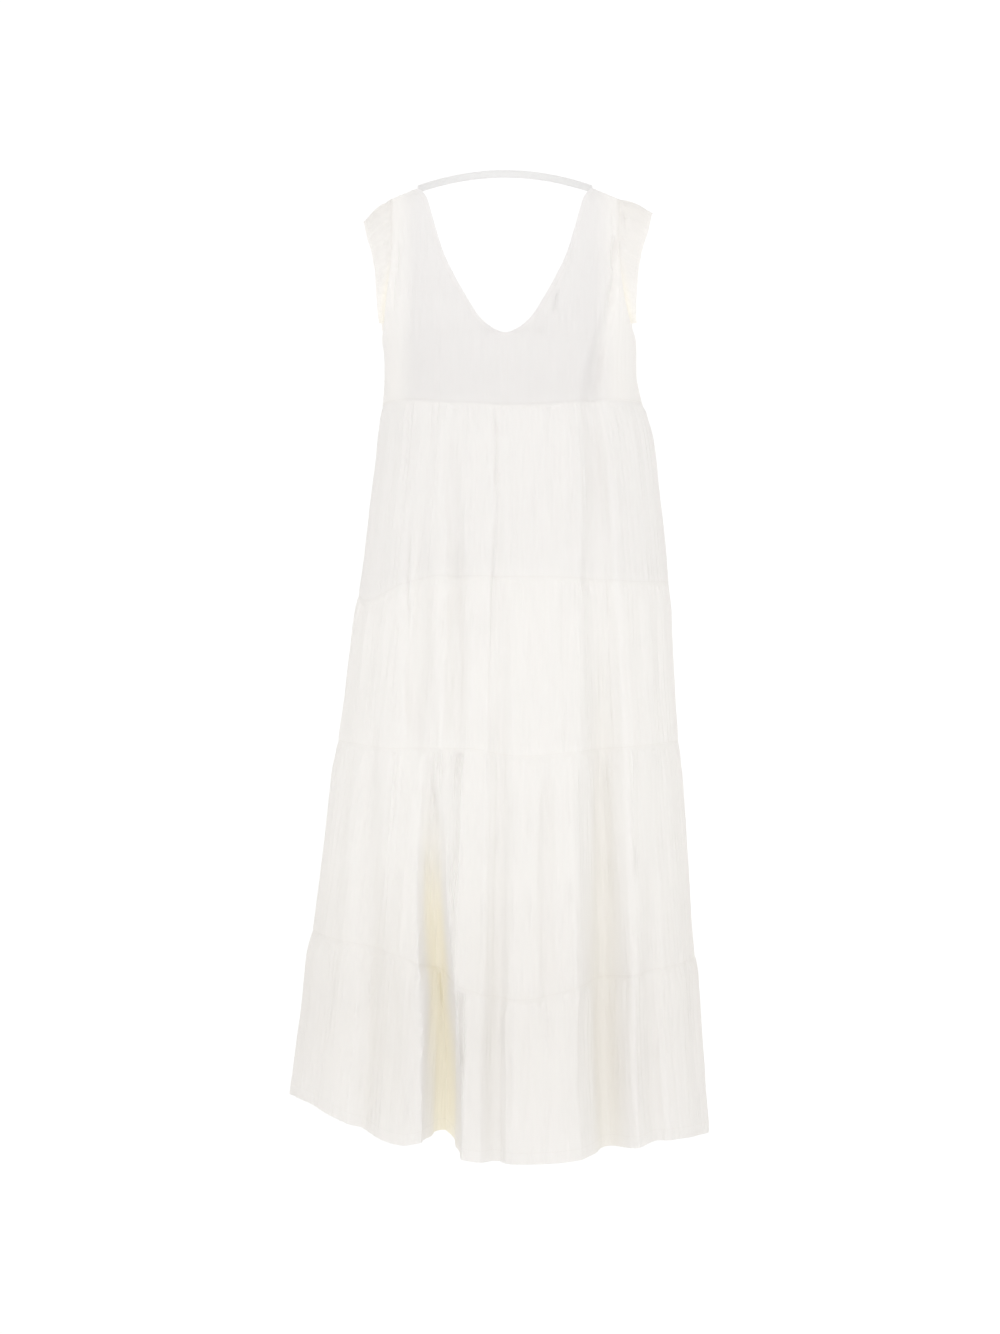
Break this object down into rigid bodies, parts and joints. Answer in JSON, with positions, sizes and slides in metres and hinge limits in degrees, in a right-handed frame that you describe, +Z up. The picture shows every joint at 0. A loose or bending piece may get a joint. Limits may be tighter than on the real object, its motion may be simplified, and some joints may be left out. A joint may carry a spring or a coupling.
{
  "type": "scoop-neck tiered midi dress",
  "caption": "Midi dress in its worn, hollow form: deep scoop neck, gathered cap sleeves, a strap behind the neck and a tiered, gathered skirt.",
  "frame": {"origin": "on the dress's axis at shoulder height, midway between the shoulder seams, where the wearer's shoulders hold it up", "axes": "+Z up, front towards -Y, +X on the right as seen from the front"},
  "size_m": [0.5374, 0.381, 1.2471],
  "materials": {
    "bodice_gauze": "matt crinkled cotton gauze",
    "sleeve_gauze": "matt crinkled cotton gauze",
    "strap_gauze": "matt cotton gauze, folded",
    "skirt_gauze": "matt crinkled cotton gauze"
  },
  "bodies": {
    "root": {"bodice_front_left": "bodice_gauze", "bodice_front_right": "bodice_gauze", "bodice_back": "bodice_gauze", "cap_sleeve_left": "sleeve_gauze", "cap_sleeve_right": "sleeve_gauze", "neck_strap": "strap_gauze", "tier_1_front": "skirt_gauze", "tier_1_back": "skirt_gauze", "tier_2_front": "skirt_gauze", "tier_2_back": "skirt_gauze", "tier_3_front": "skirt_gauze", "tier_3_back": "skirt_gauze", "tier_4_front": "skirt_gauze", "tier_4_back": "skirt_gauze"}
  },
  "joints": []
}
